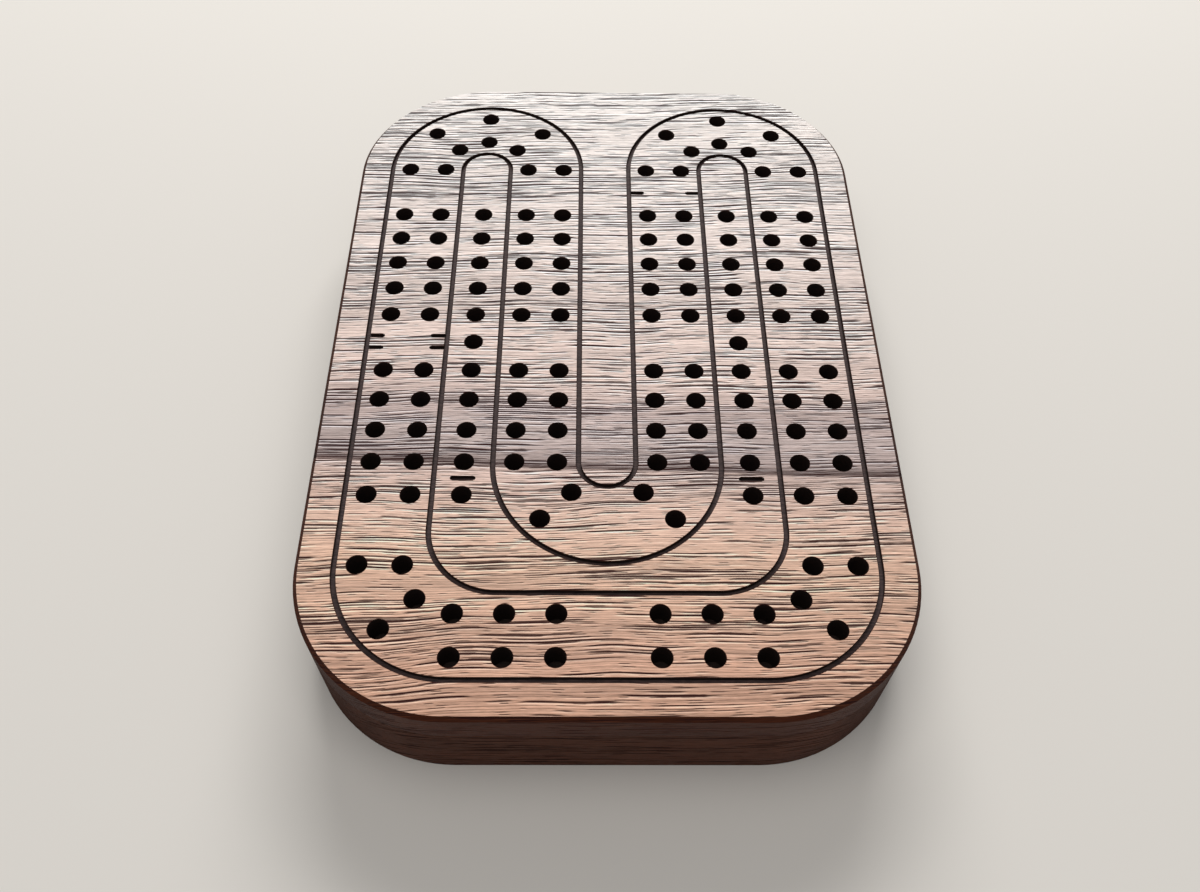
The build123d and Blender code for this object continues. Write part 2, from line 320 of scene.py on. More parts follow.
def walnut(name, fibre, seed, tones, crowding, pore_colour, roughness, top=0.0,
           painted_wall_shade="#FFFFFF", end_tint="#FFFFFF"):
    """Oiled walnut; its tones and its crowding are (mm across the board, hex colour)."""
    material, tree, shader = new_material(name)
    place = swayed(tree, fibre_coordinates(tree, fibre, seed, fibre_slant), fibre_sway)
    ground, dense, fibres = walnut_ground(tree, place, tones, crowding, top)
    # Pores crowd in clumps, 34 mm long and 2.6 mm wide.
    clump = stretched_noise(tree, place, 34.0, 2.6, 2.0, 0.6)
    clump = add(tree, "ShaderNodeMapRange", (clump, 0.3, 0.7, -0.26, 0.02))
    crowd = add(tree, "ShaderNodeMath", (dense, 0.32, clump), operation="MULTIPLY_ADD")
    pores, painted_glints = pore_field(tree, place, crowd)
    steep, ends = facings(tree, fibre)
    # The lips are painted highlights, and are left off the end grain.
    painted_glints = add(tree, "ShaderNodeMath", (painted_glints, ends), operation="SUBTRACT")
    # Steep faces of the plate take a painted shade, and end grain takes its darker wood.
    for amount, gain in ((painted_glints, painted_glint_gain), (steep, linear(painted_wall_shade)), (ends, linear(end_tint))):
        ground = add(tree, "ShaderNodeMix", {0: amount, 6: ground, 7: gain}, out=2,
                     data_type="RGBA", blend_type="MULTIPLY", clamp_result=True)
    pores = end_grain_pores(tree, pores, place, ends)
    dull = add(tree, "ShaderNodeMath", (pores, ends), operation="MAXIMUM")
    matt = add(tree, "ShaderNodeMath", (pores, steep), operation="MAXIMUM")
    relief = add(tree, "ShaderNodeMath", (fibres, 0.35), operation="MULTIPLY")
    relief = add(tree, "ShaderNodeMath", (pores, -1.0, relief), operation="MULTIPLY_ADD")
    fill(tree, shader, {
        "Base Color": add(tree, "ShaderNodeMix", {
            0: pores, 6: ground, 7: linear(pore_colour)}, out=2, data_type="RGBA"),
        "Roughness": add(tree, "ShaderNodeMapRange", (
            dull, 0.0, 1.0, roughness, roughness + 0.35)),
        "Specular IOR Level": add(tree, "ShaderNodeMapRange", (matt, 0.0, 1.0, 0.45, 0.08)),
        "Normal": add(tree, "ShaderNodeBump", {
            "Strength": 1.0, "Distance": pore_depth, "Height": relief})})
    return material


print("walnut ready, pores", round(pore_depth / mm, 2), "mm deep")

# %% [markdown]
# ### Three walnuts
# The plate pales and greys towards the far end, as a painted sheen of the window beyond
# it; it has a purple-grey band that ends in a sharp dark line 26.5 mm before the middle,
# and is warm at the near end. The block is darker wood, darkened further as painted shade
# on its walls; the drawer is paler. Switches in one material could do it, but tables are
# easier to read.

# %% Tones of the plate, the block and the drawer
# The pale, grey far end of these tones is a painted sheen.
plate_tones_and_sheen = [
    (-72, "#D2A186"), (-60, "#DAAB92"), (-45, "#EDC2A8"), (-33, "#E3C0AF"),
    (-26.9, "#D6BBB1"), (-26.5, "#543A35"), (-26.1, "#5C4540"), (-25.2, "#AE9994"),
    (-20, "#CBB7B2"), (-15, "#C3ACA6"), (-8, "#E9CEC3"), (12, "#E4CFC6"), (34, "#EBDBD4"),
    (56, "#ECE0DA"), (72, "#EBE5E1")]
plate_crowding = [
    (-72, "#707070"), (-64, "#808080"), (-58, "#787878"), (-54.5, "#B8B8B8"), (-50, "#787878"),
    (-46, "#909090"), (-38, "#8C8C8C"), (-31, "#747474"), (-26, "#A0A0A0"), (-20, "#747474"),
    (-13, "#B4B4B4"), (-4, "#707070"), (9, "#B0B0B0"), (20, "#747474"), (28, "#747474"),
    (37, "#9C9C9C"), (43, "#B0B0B0"), (52, "#909090"), (62, "#707070"), (72, "#787878")]
# The block's tones are darker wood, darkened further as painted shade.
block_tones_and_shade = [
    (-72, "#58301F"), (-30, "#522E1F"), (0, "#5A3424"), (30, "#573526"), (72, "#5E3A2A")]
drawer_tones = [
    (-72, "#A57C62"), (-20, "#9A7058"), (10, "#AB836A"), (40, "#9C735B"), (72, "#A67D64")]
even = [(-72, "#808080"), (72, "#808080")]
walnut_top = walnut("walnut_oiled_plate", "X", 0, plate_tones_and_sheen, plate_crowding, "#351716",
                    0.36, top=19.05, painted_wall_shade="#64473A", end_tint="#B8A89E")
walnut_block = walnut("walnut_oiled_block", "X", 3, block_tones_and_shade, even, "#2A100A",
                      0.5, top=12.7, end_tint="#C4BAB2")
walnut_drawer = walnut("walnut_drawer_parts", "Y", 7, drawer_tones, even, "#38201A", 0.5)
print("walnut materials:", walnut_top.name, walnut_block.name, walnut_drawer.name)

# %% [markdown]
# ## Wood inside the cuts
# A drill and a router bit brown the wood, and oil soaks into the rough walls; their
# near-black colour is also painted shade inside the holes and lines. A line's floor faces
# up and is painted paler and greyer, as painted light. Two materials would need two
# groups of faces; this one reads the height inside the plate to tell floors from walls.

# %% The material of lines and holes
board_low, board_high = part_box("top_plate")
board_top = board_high.z
line_depth = 0.8 * mm


def cut_walnut():
    """Browned walnut with painted shade on the walls of the cuts, and painted light on the lines'
    floors.
    """
    material, tree, shader = new_material("walnut_routed")
    place = fibre_coordinates(tree, "X", 5)
    grain = stretched_noise(tree, place, 1.6, 0.3, 2.0, 0.6)
    fleck = add(tree, "ShaderNodeMapRange", (grain, 0.35, 0.7, 0.0, 1.0))
    # Near-black walls are burn and painted shade; paler floors are painted light.
    burnt_and_shaded_wall, floor = (
        add(tree, "ShaderNodeMix", {0: fleck, 6: linear(dark), 7: linear(pale)}, out=2,
            data_type="RGBA")
        for dark, pale in (("#1B0E0A", "#331E17"), ("#241415", "#4B3735")))
    normal = add(tree, "ShaderNodeNewGeometry", out="Normal")
    facing = add(tree, "ShaderNodeSeparateXYZ", (normal,), out="Z")
    facing = add(tree, "ShaderNodeMapRange", (facing, 0.6, 0.9, 0.0, 1.0))
    place = add(tree, "ShaderNodeTexCoord", out="Object")
    height = add(tree, "ShaderNodeSeparateXYZ", (place,), out="Z")
    shallow = add(tree, "ShaderNodeMapRange", (
        height, board_top - 2 * line_depth, board_top - 1.5 * line_depth, 0.0, 1.0))
    lit_line_floor = add(tree, "ShaderNodeMath", (facing, shallow), operation="MULTIPLY")
    fill(tree, shader, {
        "Base Color": add(tree, "ShaderNodeMix", {0: lit_line_floor, 6: burnt_and_shaded_wall, 7: floor}, out=2,
                          data_type="RGBA"),
        "Roughness": 0.75,
        "Normal": add(tree, "ShaderNodeBump", {
            "Strength": 0.5, "Distance": 0.1 * mm, "Height": grain})})
    return material


walnut_cut = cut_walnut()
print("cut wood:", walnut_cut.name)

# %% [markdown]
# ## Birch plywood
# The drawer's bottom is thin birch plywood: pale faces and a darker middle ply that
# shows on the edges. The plies could be three meshes, but a solid texture that reads
# the height in the sheet shows them on every cut edge.

# %% Plywood
def birch_plywood(thickness, base_height):
    """Three plies; the middle one crosses and is darker on the edges."""
    material, tree, shader = new_material("birch_plywood")
    place = fibre_coordinates(tree, "Y", 2)
    grain = stretched_noise(tree, place, 30.0, 0.5, 3.0, 0.6)
    face = add(tree, "ShaderNodeValToRGB", (grain,), stops=[
        (0.25, "#E7D3B0"), (0.5, "#DDC49B"), (0.75, "#CFB185")])
    flakes = add(tree, "ShaderNodeMapRange", (
        stretched_noise(tree, place, 2.2, 0.35), 0.64, 0.7, 0.0, 0.35))
    face = add(tree, "ShaderNodeMix", {0: flakes, 6: face, 7: linear("#B08E62")}, out=2,
               data_type="RGBA")
    place = add(tree, "ShaderNodeTexCoord", out="Object")
    height = add(tree, "ShaderNodeSeparateXYZ", (place,), out="Z")
    ply = add(tree, "ShaderNodeMapRange", (
        height, base_height, base_height + thickness, 0.0, 1.0))
    outer, middle = "#FFFFFF", "#A58158"
    edge = add(tree, "ShaderNodeValToRGB", (ply,), stops=[
        (0.0, outer), (0.32, outer), (0.34, middle), (0.66, middle), (0.68, outer)])
    fill(tree, shader, {
        "Base Color": add(tree, "ShaderNodeMix", {0: 1.0, 6: face, 7: edge}, out=2,
                          data_type="RGBA", blend_type="MULTIPLY"),
        "Roughness": 0.6,
        "Normal": add(tree, "ShaderNodeBump", {
            "Strength": 0.3, "Distance": 0.05 * mm, "Height": grain})})
    return material


ply_low, ply_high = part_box("drawer_bottom")
birch_ply = birch_plywood(ply_high.z - ply_low.z, ply_low.z)
print("plywood:", birch_ply.name, round((ply_high.z - ply_low.z) / mm, 2), "mm")

# %% [markdown]
# ## Turned and plated metals
# The pegs, the knob and its screw are turned, which leaves fine rings round them; the
# magnets are nickel-plated. Modelled grooves would need far too many faces, so the
# rings are a bump.

# %% Metals
def turned_metal(name, colour, worn_colour, roughness, ring_pitch):
    """Metal with fine lathe rings across Y, every ring_pitch mm, and slight tarnish."""
    material, tree, shader = new_material(name)
    place = fibre_coordinates(tree, "X", 1)
    rings = stretched_noise(tree, fibre_coordinates(tree, "Y", 1), ring_pitch, 20.0, 1.0)
    stain = add(tree, "ShaderNodeTexNoise", {"Vector": place, "Scale": 0.35, "Detail": 3.0})
    worn = add(tree, "ShaderNodeMapRange", (stain, 0.4, 0.7, 0.0, 0.6))
    fill(tree, shader, {
        "Base Color": add(tree, "ShaderNodeMix", {
            0: worn, 6: linear(colour), 7: linear(worn_colour)}, out=2, data_type="RGBA"),
        "Roughness": add(tree, "ShaderNodeMapRange", (
            stain, 0.3, 0.7, roughness, roughness + 0.12)),
        "Metallic": 1.0,
        "Normal": add(tree, "ShaderNodeBump", {
            "Strength": 0.25, "Distance": 0.02 * mm, "Height": rings})})
    return material


brass = turned_metal("brass_turned", "#E3C284", "#C9A362", 0.26, 0.14)
steel = turned_metal("stainless_steel_turned", "#C9C8C6", "#A9A7A4", 0.24, 0.14)
nickel = turned_metal("nickel_plating", "#CDC7BC", "#B5AEA2", 0.2, 0.5)
print("metals:", brass.name, steel.name, nickel.name)

# %% [markdown]
# ## The track's layout
# Cribbage holes come in rows a quarter of an inch apart. Two lanes of paired holes run
# up one column and down the other, and single holes between them count the games. A
# list of 142 points would hide that plan, so a few sizes from the CAD model give every
# centre.

# %% Hole centres
row_pitch = 6.35
turn_rows, u_turn_row, skunk_row = 14, 11, 7  # rows counted from the hairpins' centre line
column = 23.4  # from the middle to a column's own middle
track_in, track_out = 8.2, 15.2  # the two holes of a pair, from the centre of their turn


def row_y(row):
    """Y in mm of a row of holes, counted from the hairpins' centre line."""
    return (turn_rows / 2 - row) * row_pitch


def round_turn(x, y, angles):
    """Pairs of holes round a turn."""
    return [(x + r * cos(radians(a)), y + r * sin(radians(a)))
            for a in angles for r in (track_in, track_out)]


def right_holes():
    """Centres of the holes right of the middle."""
    inner, outer = (track_in, track_out), (column + track_in, column + track_out)
    last = row_y(turn_rows)
    holes = round_turn(column, row_y(0), (0, 45, 90, 135, 180))
    for row in range(2, u_turn_row + 2):
        lanes = (column,) if row == skunk_row else (column,) + outer
        lanes += inner if row not in (skunk_row, u_turn_row + 1) else ()
        holes += [(x, row_y(row)) for x in lanes]
    holes += [(x, last) for x in outer]
    holes += round_turn(0, row_y(u_turn_row), (-45,)) + round_turn(column, last, (-45,))
    return holes + [(column * n / 3, last - r) for r in inner for n in (1, 2, 3)]


hole_centres = right_holes()
hole_centres += [(-x, y) for x, y in hole_centres]
print("peg holes:", len(hole_centres))

# %% [markdown]
# ## Engraved lines and marks
# A router ran along two closed lines beside the holes and cut short marks: the start,
# two pairs of skunk marks and a bar across each line of counters. Bezier curves only
# come near an arc, so the lines are straight runs and true arcs, from the same sizes.

# %% The lines' paths
lane_in, lane_out = 4.7, 18.7  # the engraved lines, from the centre of a hairpin
inner_corner = 11.1  # radius of the inner line's near corners


def arc(x, y, radius, start, end, steps=32):
    """Points round an arc, in degrees."""
    angles = [radians(start + (end - start) * i / steps) for i in range(steps + 1)]
    return [(x + radius * cos(a), y + radius * sin(a)) for a in angles]


def track_loop(hairpin, corner):
    """A closed line: U-turn, hairpin and near corner on the right, then mirrored."""
    near = row_y(turn_rows) - hairpin
    side = column + hairpin
    half = arc(0, row_y(u_turn_row), column - hairpin, -90, 0)
    half += arc(column, row_y(0), hairpin, 180, 0, 60)
    half += arc(side - corner, near + corner, corner, 0, -90)
    return half + [(-x, y) for x, y in reversed(half)][:-1]


def strokes():
    """Two-point strokes: start mark, skunk marks and the bars across the counters."""
    tick, bar, gap = 2.6, 3.4, 2.7  # two lengths, and the distance between a pair's ticks
    start, skunk, counter = row_y(1), row_y(skunk_row), row_y(11.5)
    found = [(lane_in, start, tick), (lane_out, start, -tick)]
    for y in (skunk - gap / 2, skunk + gap / 2):
        found += [(-column - lane_out, y, tick), (-column - lane_in, y, -tick)]
    found += [(x - bar / 2, counter, bar) for x in (-column, column)]
    return [((x, y), (x + run, y)) for x, y, run in found]


loops = [track_loop(lane_out, lane_out), track_loop(lane_in, inner_corner)]
print("points on the lines:", [len(loop) for loop in loops])

# %% Curves for the router
def curve_object(name, lines, closed):
    """Straight-segment curves through points in mm, at the height of the board's top."""
    data = bpy.data.curves.new(name, "CURVE")
    data.dimensions = "3D"
    for points in lines:
        spline = data.splines.new("POLY")
        spline.points.add(len(points) - 1)
        for point, (x, y) in zip(spline.points, points):
            point.co = (x * mm, y * mm, board_top, 1)
        spline.use_cyclic_u = closed
    made = bpy.data.objects.new(name, data)
    bpy.context.scene.collection.objects.link(made)
    return made


track_lines = curve_object("track_lines", loops, True)
marks = curve_object("marks", strokes(), False)
print("lines:", len(track_lines.data.splines), "marks:", len(marks.data.splines))

# %% [markdown]
# ## Boards with eased edges
# Both boards share one outline with wide round corners. A Bevel modifier would treat
# all edges alike, so each board is a stack of copies of that outline, drawn in where an
# edge is bevelled.

# %% A rounded slab
half_x, half_y = board_high.x, board_high.y
corner_radius, corner_steps = 24.8 * mm, 24


def rounded_outline(inset):
    """Points round the outline, drawn in by an inset."""
    points = []
    for quarter, (sx, sy) in enumerate(((1, 1), (-1, 1), (-1, -1), (1, -1))):
        x, y = sx * (half_x - corner_radius), sy * (half_y - corner_radius)
        points += arc(x, y, corner_radius - inset, 90 * quarter, 90 * quarter + 90, corner_steps)
    return points


def link_mesh(name, vertices, faces):
    """A new object from points and faces, with its normals turned outward."""
    data = bpy.data.meshes.new(name)
    data.from_pydata(vertices, [], faces)
    shape = bmesh.new()
    shape.from_mesh(data)
    bmesh.ops.remove_doubles(shape, verts=shape.verts, dist=1e-7)
    bmesh.ops.recalc_face_normals(shape, faces=shape.faces)
    shape.to_mesh(data)
    shape.free()
    made = bpy.data.objects.new(name, data)
    bpy.context.scene.collection.objects.link(made)
    return made


def stack(name, outlines):
    """A solid through (height, outline) pairs from the bottom up."""
    count = len(outlines[0][1])
    vertices = [(x, y, height) for height, outline in outlines for x, y in outline]
    top = len(vertices) - count
    faces = [(a + i, a + (i + 1) % count, a + count + (i + 1) % count, a + count + i)
             for a in range(0, top, count) for i in range(count)]
    faces += [tuple(reversed(range(count))), tuple(range(top, top + count))]
    return link_mesh(name, vertices, faces)


def slab(name, levels):
    """A board through (height, inset) levels from the bottom up."""
    return stack(name, [(height, rounded_outline(inset)) for height, inset in levels])


glue_line, rim_bevel = 0.07 * mm, 0.65 * mm
playing_board = slab("playing_board", [
    (board_low.z, glue_line), (board_low.z + glue_line, 0),
    (board_top - rim_bevel, 0), (board_top, rim_bevel)])
print("plate:", len(playing_board.data.vertices), "points before drilling")

# %% [markdown]
# ## Cutting with Geometry Nodes
# The holes repeat and the lines follow paths, which is what Geometry Nodes are for. A
# Boolean modifier for each hole would work too, but one tree that makes the drills and
# the router's sweeps and subtracts them keeps every size in one place, as an input.

# %% Helpers for trees of geometry
def new_tree(name, inputs):
    """A geometry tree with a geometry in and out, and named inputs with their kinds."""
    tree = bpy.data.node_groups.new(name, "GeometryNodeTree")
    for way in ("INPUT", "OUTPUT"):
        tree.interface.new_socket("Geometry", in_out=way, socket_type="NodeSocketGeometry")
    for label, kind in inputs:
        tree.interface.new_socket(label, in_out="INPUT", socket_type="NodeSocket" + kind)
    return tree, tree.nodes.new("NodeGroupInput").outputs


def stamped(tree, tool, points):
    """A tool put on each point and made real."""
    placed = add(tree, "GeometryNodeInstanceOnPoints", {"Points": points, "Instance": tool})
    return add(tree, "GeometryNodeRealizeInstances", (placed,))


def lifted(tree, solid, height):
    """A solid moved up by a height."""
    offset = add(tree, "ShaderNodeCombineXYZ", {"Z": height})
    return add(tree, "GeometryNodeTransform", {"Geometry": solid, "Translation": offset})


print("tree helpers ready")

# %% [markdown]
# ### Peg holes
# A peg hole is drilled straight down, and a turn of a countersink takes the burr off its
# rim. A bevel would be fragile after a Boolean, so a cone is cut away too.

# %% Drills and countersinks
drill_lift = 1.0 * mm  # how far a drill stands above the face, for a clean cut
drill_sides = 48


def drills(tree, given):
    """A drill and a countersink on every hole centre."""
    radius, rim = given["Hole Radius"], given["Hole Rim"]
    depth = add(tree, "ShaderNodeMath", (given["Hole Depth"], drill_lift), operation="ADD")
    middle = add(tree, "ShaderNodeMath", (depth, -0.5, drill_lift), operation="MULTIPLY_ADD")
    drill = lifted(tree, add(tree, "GeometryNodeMeshCylinder", {
        "Vertices": drill_sides, "Radius": radius, "Depth": depth}, out="Mesh"), middle)
    # The cone climbs at 45 degrees from two rims down: at the face it is one rim wider.
    wide = add(tree, "ShaderNodeMath", (rim, 2.0, radius), operation="MULTIPLY_ADD")
    tight = add(tree, "ShaderNodeMath", (radius, rim), operation="SUBTRACT")
    tall = add(tree, "ShaderNodeMath", (rim, 3.0), operation="MULTIPLY")
    sink = add(tree, "ShaderNodeMath", (rim, -2.0), operation="MULTIPLY")
    cone = lifted(tree, add(tree, "GeometryNodeMeshCone", {
        "Vertices": drill_sides, "Radius Top": wide, "Radius Bottom": tight, "Depth": tall},
        out="Mesh"), sink)
    plan = add(tree, "GeometryNodeObjectInfo", {"Object": given["Hole Centres"]}, out="Geometry")
    centres = add(tree, "GeometryNodeMeshToPoints", {"Mesh": plan})
    return [stamped(tree, drill, centres), stamped(tree, cone, centres)]


print("drills ready, with", drill_sides, "sides")

# %% [markdown]
# ### Engraved lines
# A router bit leaves a square groove with round ends, and sanding breaks its edges. A
# bump would cast no shadow, so a square and a flat diamond are swept along each path,
# and a cylinder ends each mark.

# %% The router's sweeps
bit_sides = 24


def sweeps(tree, given):
    """The router's square profile along every line, and round ends on the marks."""
    width = given["Line Width"]
    # A diamond as wide as the line and its broken edges.
    half = add(tree, "ShaderNodeMath", (width, 0.5, given["Line Rim"]), operation="MULTIPLY_ADD")
    diamond = add(tree, "GeometryNodeCurvePrimitiveCircle", {"Resolution": 4, "Radius": half})
    height = add(tree, "ShaderNodeMath", (given["Line Depth"], 2.0), operation="MULTIPLY")
    profile = add(tree, "GeometryNodeCurvePrimitiveQuadrilateral", {
        "Width": width, "Height": height})
    made = []
    for label in ("Track Lines", "Marks"):
        path = add(tree, "GeometryNodeObjectInfo", {"Object": given[label]}, out="Geometry")
        level = add(tree, "GeometryNodeSetCurveNormal", {"Curve": path}, mode="Z_UP")
        made += [add(tree, "GeometryNodeCurveToMesh", {
            "Curve": level, "Profile Curve": outline, "Fill Caps": True})
            for outline in (profile, diamond)]
    half_width = add(tree, "ShaderNodeMath", (width, 0.5), operation="MULTIPLY")
    end = add(tree, "GeometryNodeMeshCylinder", {
        "Vertices": bit_sides, "Radius": half_width, "Depth": height}, out="Mesh")
    tips = add(tree, "GeometryNodeCurveToPoints", {"Curve": path, "Count": 2}, mode="COUNT")
    return made + [stamped(tree, end, tips)]


print("sweeps ready, with", bit_sides, "sides on a mark's end")

# %% [markdown]
# ### Which faces are cuts
# Every face inside a hole or a line gets the browned wood. The tools could carry it
# into the Boolean, but then the broken rims would be brown too, so faces are chosen by
# their place: below the rims, above the holes' floors and inside the outline.

# %% Faces below the rims
outline_margin, rim_margin, floor_margin = 1.0 * mm, 0.08 * mm, 0.2 * mm


def faces_of_cuts(tree, given):
    """Selects the faces inside holes and lines by their place."""
    place = add(tree, "GeometryNodeInputPosition")
    size = add(tree, "ShaderNodeVectorMath", (place,), operation="ABSOLUTE")
    past = add(tree, "ShaderNodeVectorMath", (size, given["Corner Centre"]), operation="SUBTRACT")
    past = add(tree, "ShaderNodeVectorMath", (past, (0, 0, 0)), operation="MAXIMUM")
    past = add(tree, "ShaderNodeVectorMath", (past, (1, 1, 0)), operation="MULTIPLY")
    reach = add(tree, "ShaderNodeVectorMath", (past,), operation="LENGTH", out="Value")
    level = add(tree, "ShaderNodeSeparateXYZ", (place,), out="Z")
    floors = add(tree, "ShaderNodeMath", (given["Board Top"], given["Hole Depth"]),
                 operation="SUBTRACT")
    margin, under_top, under_floors = (
        add(tree, "ShaderNodeMath", pair, operation="SUBTRACT")
        for pair in ((given["Corner Radius"], outline_margin), (given["Board Top"], rim_margin),
                     (floors, floor_margin)))
    chosen = True
    for low, high in ((reach, margin), (level, under_top), (under_floors, level)):
        test = add(tree, "FunctionNodeCompare", (low, high), data_type="FLOAT",
                   operation="LESS_THAN")
        chosen = add(tree, "FunctionNodeBooleanMath", (chosen, test), operation="AND")
    return chosen


print("cuts start", round(rim_margin / mm, 2), "mm below the top")

# %% The tree that drills and engraves
def drilling_tree():
    """Cuts peg holes and engraved lines into the object's own mesh."""
    tree, given = new_tree("peg_board_cuts", [
        ("Hole Centres", "Object"), ("Track Lines", "Object"), ("Marks", "Object"),
        ("Hole Radius", "Float"), ("Hole Depth", "Float"), ("Hole Rim", "Float"),
        ("Line Width", "Float"), ("Line Depth", "Float"), ("Line Rim", "Float"),
        ("Board Top", "Float"),
        ("Corner Centre", "Vector"), ("Corner Radius", "Float"),
        ("Wood", "Material"), ("Cut Wood", "Material")])
    board = given["Geometry"]
    for cutter in drills(tree, given) + sweeps(tree, given):
        board = add(tree, "GeometryNodeMeshBoolean", {"Mesh 1": board, "Mesh 2": cutter},
                    operation="DIFFERENCE", solver="MANIFOLD")
    board = add(tree, "GeometryNodeRealizeInstances", (board,))
    board = add(tree, "GeometryNodeSetMaterial", {"Geometry": board, "Material": given["Wood"]})
    board = add(tree, "GeometryNodeSetMaterial", {
        "Geometry": board, "Selection": faces_of_cuts(tree, given), "Material": given["Cut Wood"]})
    add(tree, "NodeGroupOutput", {"Geometry": board})
    return tree


cuts = drilling_tree()
print("tree:", cuts.name, "with", len(cuts.nodes), "nodes")

# %% [markdown]
# ## The playing board
# The plate gets its holes and lines in one go. A modifier could stay live, but a
# finished piece has to be a plain mesh, so the tree's result is made real.

# %% Drill the board
hole_radius, hole_depth, hole_rim = 1.62 * mm, 5.2 * mm, 0.07 * mm
line_width, line_rim = 0.78 * mm, 0.07 * mm
board_smoothing = 32


def set_inputs(piece, tree, values):
    """A nodes modifier on a piece, its inputs set by each socket's identifier."""
    modifier = piece.modifiers.new("nodes", "NODES")
    modifier.node_group = tree
    for item in tree.interface.items_tree:
        if item.in_out == "INPUT" and item.name in values:
            modifier[item.identifier] = values[item.name]


def settle(piece, *spent):
    """Turns a piece's modifiers into a plain mesh and removes the tools it used."""
    depsgraph = bpy.context.evaluated_depsgraph_get()
    made = bpy.data.meshes.new_from_object(
        piece.evaluated_get(depsgraph), preserve_all_data_layers=True, depsgraph=depsgraph)
    piece.modifiers.clear()
    piece.data = made
    made.name = piece.name
    print(piece.name, "slots:", [m.name if m else None for m in made.materials])
    for tool in spent:
        bpy.data.objects.remove(tool)


def smooth_by_angle(piece, degrees):
    """Smooth shading that keeps edges sharper than an angle."""
    piece.data.shade_smooth()
    piece.data.set_sharp_from_angle(angle=radians(degrees))


centres = link_mesh("hole_centres", [(x * mm, y * mm, board_top) for x, y in hole_centres], [])
playing_board.data.materials.append(walnut_top)
set_inputs(playing_board, cuts, {
    "Hole Centres": centres, "Track Lines": track_lines, "Marks": marks,
    "Hole Radius": hole_radius, "Hole Depth": hole_depth, "Hole Rim": hole_rim,
    "Line Width": line_width, "Line Depth": line_depth, "Line Rim": line_rim,
    "Board Top": board_top,
    "Corner Centre": (half_x - corner_radius, half_y - corner_radius, 0),
    "Corner Radius": corner_radius, "Wood": walnut_top, "Cut Wood": walnut_cut})
settle(playing_board, centres, track_lines, marks)
smooth_by_angle(playing_board, board_smoothing)
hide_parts("top_plate")
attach(playing_board, "casing")
print("drilled board:", len(playing_board.data.polygons), "faces")

# %% [markdown]
# ## The lower block
# The block has a pocket milled into it from above for the drawer, open at the far end.
# Strips round a gap would break the grain, so it is the same stack of outlines less a
# pocket, whose near corners keep the cutter's radius, and the catch's magnet bore.

# %% Mill the block
pocket_x, pocket_near, pocket_floor = 22.0 * mm, -35.05 * mm, 3.2 * mm
pocket_corner = 1.6 * mm
past_end, past_top = 80 * mm, 20 * mm  # beyond the block
magnet_radius, magnet_depth = 2.55 * mm, 3 * mm
magnet_sides = 48

casing_block = slab("casing_block", [
    (0, glue_line), (glue_line, 0), (board_low.z - glue_line, 0), (board_low.z, glue_line)])
inner_x, inner_y = pocket_x - pocket_corner, pocket_near + pocket_corner
pocket_outline = arc(-inner_x, inner_y, pocket_corner, 180, 270, 8)
pocket_outline += arc(inner_x, inner_y, pocket_corner, 270, 360, 8)
pocket_outline += [(pocket_x, past_end), (-pocket_x, past_end)]
pocket = stack("pocket", [(pocket_floor, pocket_outline), (past_top, pocket_outline)])
magnet_low, magnet_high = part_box("pocket_magnet")
magnet_z = (magnet_low.z + magnet_high.z) / 2
circle = arc(0, 0, magnet_radius, 0, 360 - 360 / magnet_sides, magnet_sides - 1)
magnet_bore = stack("magnet_bore", [(0, circle), (magnet_depth, circle)])
magnet_bore.data.transform(Matrix.Translation((0, magnet_low.y + magnet_depth, magnet_z))
                           @ Matrix.Rotation(radians(90), 4, "X"))
for tool in (pocket, magnet_bore):
    modifier = casing_block.modifiers.new(tool.name, "BOOLEAN")
    modifier.object = tool
    modifier.operation = "DIFFERENCE"
    modifier.solver = "EXACT"
settle(casing_block, pocket, magnet_bore)
casing_block.data.materials.clear()
casing_block.data.materials.append(walnut_block)
smooth_by_angle(casing_block, board_smoothing)
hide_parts("body_block")
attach(casing_block, "casing")
print("casing block:", len(casing_block.data.polygons), "faces")

# %% [markdown]
# ## Turned parts
# A lathe makes one profile go round an axis. A Screw modifier would too, but it leaves
# doubled points on the axis. Corners are eased first: a turner breaks every edge with a
# file, and the light catches there.

# %% The lathe
def eased_profile(points, radius, steps=4):
    """A profile whose inner corners are rounded, each by at most a radius."""
    result = [points[0]]
    for before, corner, after in zip(points, points[1:], points[2:]):
        before, corner, after = Vector(before), Vector(corner), Vector(after)
        back, on = before - corner, after - corner
        cut = min(radius, back.length * 0.45, on.length * 0.45)
        start, end = corner + back.normalized() * cut, corner + on.normalized() * cut
        for i in range(steps + 1):
            t = i / steps
            point = start * (1 - t) ** 2 + corner * 2 * t * (1 - t) + end * t ** 2
            result.append((point.x, point.y))
    return result + [points[-1]]


def lathe(name, profile, centre, segments):
    """A solid of revolution round Y through a centre, from (radius, length) in mm."""
    vertices, faces, rings = [], [], []
    for radius, length in profile:
        sides = segments if radius > 0 else 1  # a single point on the axis
        rings.append([len(vertices) + i % sides for i in range(segments)])
        for i in range(sides):
            angle = 2 * pi * i / segments
            vertices.append((centre[0] + radius * mm * cos(angle), centre[1] + length * mm,
                             centre[2] + radius * mm * sin(angle)))
    for low, high in zip(rings, rings[1:]):
        for i in range(segments):
            j = (i + 1) % segments
            # On the axis two corners are the same point, and the face is a triangle.
            corners = list(dict.fromkeys((low[i], low[j], high[j], high[i])))
            if len(corners) > 2:
                faces.append(tuple(corners))
    return link_mesh(name, vertices, faces)


turned_smoothing = 40
print("lathe ready, smooth below", turned_smoothing, "degrees")

# %% [markdown]
# ## The knob
# The pull is a small brass knob: a foot on the drawer's front, a neck for the fingertips
# and a round head, bored for its screw. It could be stacked from cylinders, but one
# profile of radius and length pairs gives all its curves and the bore.

